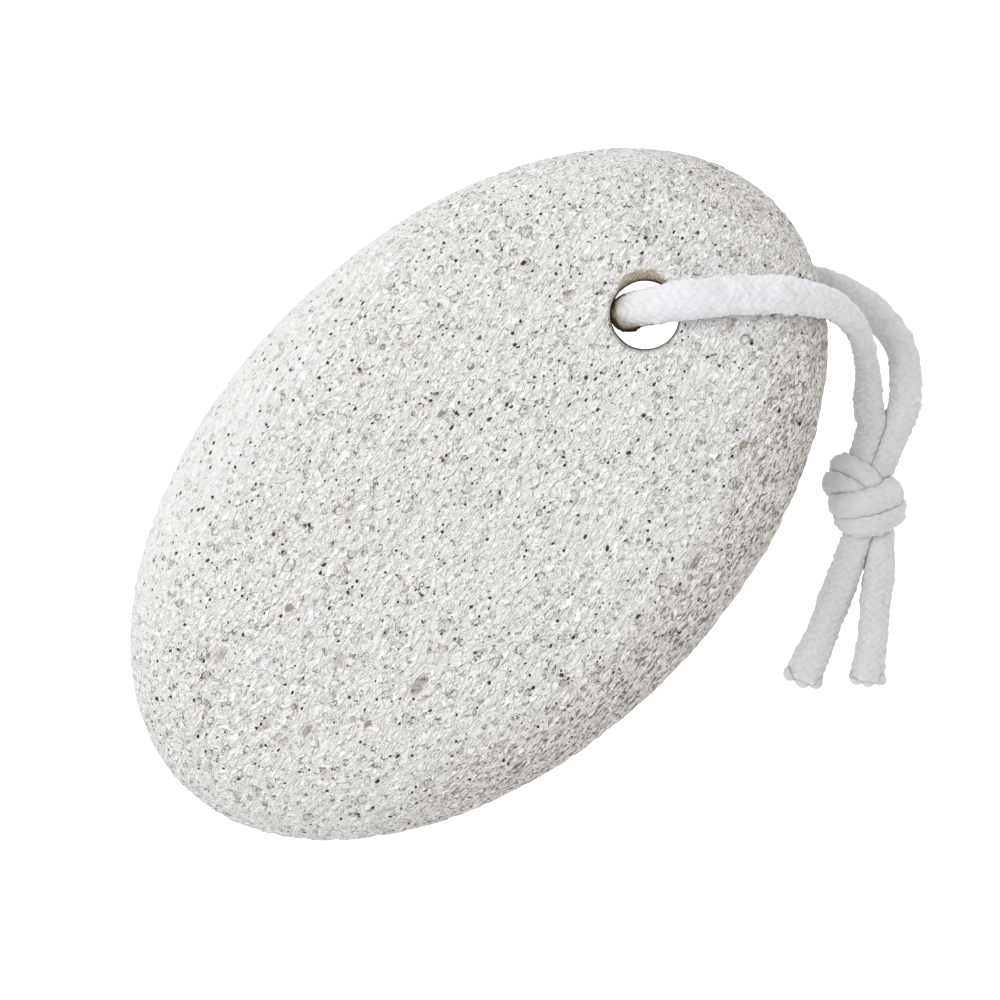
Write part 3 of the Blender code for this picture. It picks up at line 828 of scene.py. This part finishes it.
def cord_material():
    """Soft white polyester braid: slightly cool white, with painted shade low beside the stone, a little
    painted shade between the stitches and a grey mottle, stone dust and painted shade in the hole,
    fine fibres, and light that goes a short way into it."""
    material, start = new_material("white braid")
    place = start.node("ShaderNodeTexCoord", {}, {}, out="Object")
    stitch = start.node("ShaderNodeAttribute", {"attribute_name": "stitches"}, {}, out="Fac")
    fibres = start.node("ShaderNodeTexNoise", {}, {"Vector": place, "Scale": 2400, "Detail": 4})
    worn = start.node("ShaderNodeTexNoise", {}, {"Vector": place, "Scale": 350, "Detail": 2})
    level = start.node("ShaderNodeSeparateXYZ", {}, {"Vector": place}, out="Z")
    # painted shade: the cord is darker low down beside the stone, where the stone's shadow falls, than
    # high over its face
    colour = level.step(0.008, 0.026).mix(SHADED_CORD, UNSHADED_CORD)
    # painted shade a little darker between the stitches, and a grey mottle in noise patches
    crease_shade_and_mottle = stitch.step(0.7, 0.1) * 0.07 + worn.step(0.35, 0.7) * 0.34
    colour = crease_shade_and_mottle.mix(colour, CREASE_SHADE_AND_MOTTLE)
    # stone dust and painted shade, tinted by light off the tan bore, on the cord where it goes down the
    # hole
    axis = start.node("ShaderNodeMapping", {}, {"Vector": place, "Location": tuple(-HOLE_TOP * MM)})
    flat = start.node("ShaderNodeVectorMath", {"operation": "MULTIPLY"}, {0: axis, 1: (1, 1, 0)})
    from_axis = start.node("ShaderNodeVectorMath", {"operation": "LENGTH"}, {0: flat}, out="Value")
    in_hole_dust_and_shade = level.step(0.0272, 0.0232) * level.step(0.006, 0.012) * from_axis.step(0.0058, 0.0048)
    colour = (in_hole_dust_and_shade * 0.85).mix(colour, HOLE_DUST_AND_SHADE)
    height = fibres * 0.8 + worn * 0.3
    normal = start.node("ShaderNodeBump", {}, {"Strength": 0.7, "Distance": 0.0002, "Height": height})
    finish_material(
        start, colour, 0.85, normal, Specular_IOR_Level=0.3, Sheen_Weight=0.1,
        Subsurface_Weight=0.5, Subsurface_Scale=0.001, Subsurface_Radius=(1, 1, 1),
    )
    return material


points, faces, caps, stitches = cord_surface()
beads, bead_faces, poles = melted_beads(len(points), BEAD_RINGS)
beads[:, 2] = np.maximum(beads[:, 2], LEAST_LIFT)
points, faces = np.vstack([points, beads]), np.vstack([faces, bead_faces])
cord = mesh_object("braided_cord", points, faces, caps + poles)
set_values(cord.data, "stitches", np.r_[stitches, np.full(len(beads), 0.5)])
cord.data.materials.append(cord_material())
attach(cord, "root")
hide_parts("cord_loop", "cord_knot", "cord_tail_left", "cord_tail_right")

# ---- Floor, light and camera -----------------------------------------------------------------
# A plain white table, one large soft lamp above the stone's far long side, soft light all round,
# and a camera straight above, turned so that the stone lies on the slant.

TABLE_HALF = 900
# the table's own glow, which lights the stone from below, and what only the camera sees of it more
TABLE_GLOW, SEEN_GLOW = 0.42, 0.5
ROUND_LIGHT = 0.72
LAMP_PLACE = Vector((-0.10, 0.33, 0.78))
LAMP_SIZE, LAMP_POWER = 0.35, 3.0
IMAGE_TURN = math.radians(-44.53)
VIEW_HEIGHT = 600
VIEW_WIDTH = 114.3
VIEW_MIDDLE = (1.24, -2.20)
SENSOR_WIDTH = 36

corners = np.array([[-1, -1, 0], [1, -1, 0], [1, 1, 0], [-1, 1, 0]]) * float(TABLE_HALF)
floor = mesh_object("table", corners, np.array([[0, 1, 2, 3]]))
paper, start = new_material("white table")
glow = start.node("ShaderNodeLightPath", {}, {}, out="Is Camera Ray") * SEEN_GLOW + TABLE_GLOW
sockets = {"Base Color": (0.8, 0.8, 0.8, 1), "Roughness": 0.9}
sockets.update({"Emission Color": glow, "Emission Strength": 1.0})
shader = start.node("ShaderNodeBsdfPrincipled", {}, sockets)
start.node("ShaderNodeOutputMaterial", {}, {"Surface": shader})
floor.data.materials.append(paper)

world = bpy.data.worlds.new("studio")
world.use_nodes = True
world.node_tree.nodes["Background"].inputs["Color"].default_value = (1, 1, 1, 1)
world.node_tree.nodes["Background"].inputs["Strength"].default_value = ROUND_LIGHT
bpy.context.scene.world = world

lamp = bpy.data.lights.new("key", "AREA")
lamp.size, lamp.energy = LAMP_SIZE, LAMP_POWER
key = bpy.data.objects.new("key", lamp)
key.location = LAMP_PLACE
key.rotation_euler = (-LAMP_PLACE).to_track_quat("-Z", "Y").to_euler()
bpy.context.scene.collection.objects.link(key)

camera = bpy.data.objects.new("camera", bpy.data.cameras.new("camera"))
camera.data.sensor_width = SENSOR_WIDTH
camera.data.lens = SENSOR_WIDTH * VIEW_HEIGHT / VIEW_WIDTH
camera.location = (VIEW_MIDDLE[0] * MM, VIEW_MIDDLE[1] * MM, (WIDEST_Z + VIEW_HEIGHT) * MM)
camera.rotation_euler = (0, 0, IMAGE_TURN)
bpy.context.scene.collection.objects.link(camera)
bpy.context.scene.camera = camera
bpy.context.scene.view_settings.view_transform = "Standard"
